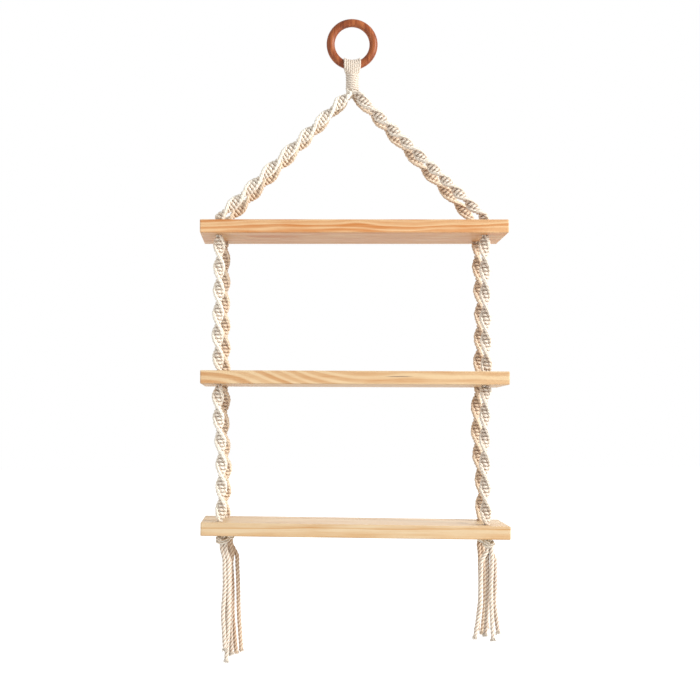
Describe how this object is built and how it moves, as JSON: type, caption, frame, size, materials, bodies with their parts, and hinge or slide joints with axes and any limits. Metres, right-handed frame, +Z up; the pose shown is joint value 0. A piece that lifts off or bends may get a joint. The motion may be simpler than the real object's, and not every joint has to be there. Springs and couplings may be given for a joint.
{
  "type": "hanging rope shelf",
  "caption": "Hanging shelf with pine boards carried by spiral-knotted cotton cords that gather in a wrap under a wooden ring, with loose tassels below the lowest board.",
  "frame": {"origin": "the highest point inside the wooden ring's hole, where a hook or peg bears", "axes": "+X along the boards to the right, +Y from the front edge to the back edge, +Z up"},
  "size_m": [0.4402, 0.1406, 0.9339],
  "materials": {
    "ring_wood": "satin, reddish brown",
    "pine": "satin varnished pine",
    "cotton": "natural twisted cotton cord"
  },
  "bodies": {
    "hanging_ring": {"wooden_ring": "ring_wood"},
    "cord_loops": {"ring_loop_1": "cotton", "ring_loop_2": "cotton", "ring_loop_3": "cotton", "ring_loop_4": "cotton", "ring_loop_5": "cotton", "ring_loop_6": "cotton", "ring_loop_7": "cotton", "ring_loop_8": "cotton"},
    "gather": {"gathered_strands": "cotton", "gathering_wrap": "cotton"},
    "top_tier": {"top_board": "pine", "leg_front_left": "cotton", "leg_front_right": "cotton", "leg_rear_left": "cotton", "leg_rear_right": "cotton"},
    "upper_front_left": {"upper_cord_front_left": "cotton"},
    "upper_front_right": {"upper_cord_front_right": "cotton"},
    "upper_rear_left": {"upper_cord_rear_left": "cotton"},
    "upper_rear_right": {"upper_cord_rear_right": "cotton"},
    "middle_tier": {"middle_board": "pine", "middle_hole_strands_front_left": "cotton", "middle_hole_strands_front_right": "cotton", "middle_hole_strands_rear_left": "cotton", "middle_hole_strands_rear_right": "cotton"},
    "lower_front_left": {"lower_cord_front_left": "cotton"},
    "lower_front_right": {"lower_cord_front_right": "cotton"},
    "lower_rear_left": {"lower_cord_rear_left": "cotton"},
    "lower_rear_right": {"lower_cord_rear_right": "cotton"},
    "bottom_tier": {"bottom_board": "pine", "bottom_hole_strands_front_left": "cotton", "bottom_hole_strands_front_right": "cotton", "bottom_hole_strands_rear_left": "cotton", "bottom_hole_strands_rear_right": "cotton", "stopper_knot_front_left": "cotton", "stopper_knot_front_right": "cotton", "stopper_knot_rear_left": "cotton", "stopper_knot_rear_right": "cotton"},
    "tassel_front_left": {"tassel_front_left_1": "cotton", "tassel_front_left_2": "cotton", "tassel_front_left_3": "cotton", "tassel_front_left_4": "cotton"},
    "tassel_front_right": {"tassel_front_right_1": "cotton", "tassel_front_right_2": "cotton", "tassel_front_right_3": "cotton", "tassel_front_right_4": "cotton"},
    "tassel_rear_left": {"tassel_rear_left_1": "cotton", "tassel_rear_left_2": "cotton", "tassel_rear_left_3": "cotton", "tassel_rear_left_4": "cotton"},
    "tassel_rear_right": {"tassel_rear_right_1": "cotton", "tassel_rear_right_2": "cotton", "tassel_rear_right_3": "cotton", "tassel_rear_right_4": "cotton"}
  },
  "joints": [
    {"name": "front_back_swing", "type": "hinge", "parent": "hanging_ring", "child": "cord_loops", "pos_m": [0, 0, -0.057], "axis": [1, 0, 0], "range_deg": [-45, 45]},
    {"name": "twist", "type": "hinge", "parent": "cord_loops", "child": "gather", "pos_m": [0, 0, -0.0686], "axis": [0, 0, 1], "range_deg": [-45, 45], "stiffness_Nm_per_rad": 0.15},
    {"name": "side_swing", "type": "hinge", "parent": "gather", "child": "top_tier", "pos_m": [0, 0, -0.0956], "axis": [0, 1, 0], "range_deg": [-20, 20]},
    {"name": "middle_sway", "type": "hinge", "parent": "top_tier", "child": "upper_front_left", "pos_m": [-0.194, -0.04, -0.3111], "axis": [0, 1, 0], "range_deg": [-15, 15]},
    {"name": "middle_sway_front_right", "type": "hinge", "parent": "top_tier", "child": "upper_front_right", "pos_m": [0.189, -0.04, -0.3111], "axis": [0, 1, 0], "range_deg": [-15.5, 15.5]},
    {"name": "middle_sway_rear_left", "type": "hinge", "parent": "top_tier", "child": "upper_rear_left", "pos_m": [-0.189, 0.04, -0.3111], "axis": [0, 1, 0], "range_deg": [-15.5, 15.5]},
    {"name": "middle_sway_rear_right", "type": "hinge", "parent": "top_tier", "child": "upper_rear_right", "pos_m": [0.1875, 0.04, -0.3111], "axis": [0, 1, 0], "range_deg": [-15.5, 15.5]},
    {"name": "middle_level", "type": "hinge", "parent": "upper_front_left", "child": "middle_tier", "pos_m": [-0.19393, -0.04, -0.50645], "axis": [0, 1, 0], "range_deg": [-15.5, 15.5]},
    {"name": "bottom_sway", "type": "hinge", "parent": "middle_tier", "child": "lower_front_left", "pos_m": [-0.19406, -0.04, -0.52545], "axis": [0, 1, 0], "range_deg": [-15, 15]},
    {"name": "bottom_sway_front_right", "type": "hinge", "parent": "middle_tier", "child": "lower_front_right", "pos_m": [0.18893, -0.04, -0.52792], "axis": [0, 1, 0], "range_deg": [-15.5, 15.5]},
    {"name": "bottom_sway_rear_left", "type": "hinge", "parent": "middle_tier", "child": "lower_rear_left", "pos_m": [-0.18906, 0.04, -0.52548], "axis": [0, 1, 0], "range_deg": [-15.5, 15.5]},
    {"name": "bottom_sway_rear_right", "type": "hinge", "parent": "middle_tier", "child": "lower_rear_right", "pos_m": [0.18743, 0.04, -0.52791], "axis": [0, 1, 0], "range_deg": [-15.5, 15.5]},
    {"name": "bottom_level", "type": "hinge", "parent": "lower_front_left", "child": "bottom_tier", "pos_m": [-0.19378, -0.0403, -0.72126], "axis": [0, 1, 0], "range_deg": [-15.5, 15.5]},
    {"name": "tassel_swing_front_left", "type": "hinge", "parent": "bottom_tier", "child": "tassel_front_left", "pos_m": [-0.18968, -0.03968, -0.74743], "axis": [0, 1, 0], "range_deg": [-25, 25]},
    {"name": "tassel_swing_front_right", "type": "hinge", "parent": "bottom_tier", "child": "tassel_front_right", "pos_m": [0.19165, -0.03951, -0.75469], "axis": [0, 1, 0], "range_deg": [-25, 25]},
    {"name": "tassel_swing_rear_left", "type": "hinge", "parent": "bottom_tier", "child": "tassel_rear_left", "pos_m": [-0.18468, 0.0403, -0.74564], "axis": [0, 1, 0], "range_deg": [-25, 25]},
    {"name": "tassel_swing_rear_right", "type": "hinge", "parent": "bottom_tier", "child": "tassel_rear_right", "pos_m": [0.19015, 0.04047, -0.75277], "axis": [0, 1, 0], "range_deg": [-25, 25]}
  ],
  "couplings": [
    {"joint": "middle_sway_front_right", "follows": "middle_sway", "ratio": 0.9875},
    {"joint": "middle_sway_rear_left", "follows": "middle_sway", "ratio": 0.99983},
    {"joint": "middle_sway_rear_right", "follows": "middle_sway", "ratio": 0.98755},
    {"joint": "middle_level", "follows": "middle_sway", "ratio": -1},
    {"joint": "bottom_sway_front_right", "follows": "bottom_sway", "ratio": 0.97602},
    {"joint": "bottom_sway_rear_left", "follows": "bottom_sway", "ratio": 1.0094},
    {"joint": "bottom_sway_rear_right", "follows": "bottom_sway", "ratio": 0.98537},
    {"joint": "bottom_level", "follows": "bottom_sway", "ratio": -1}
  ]
}
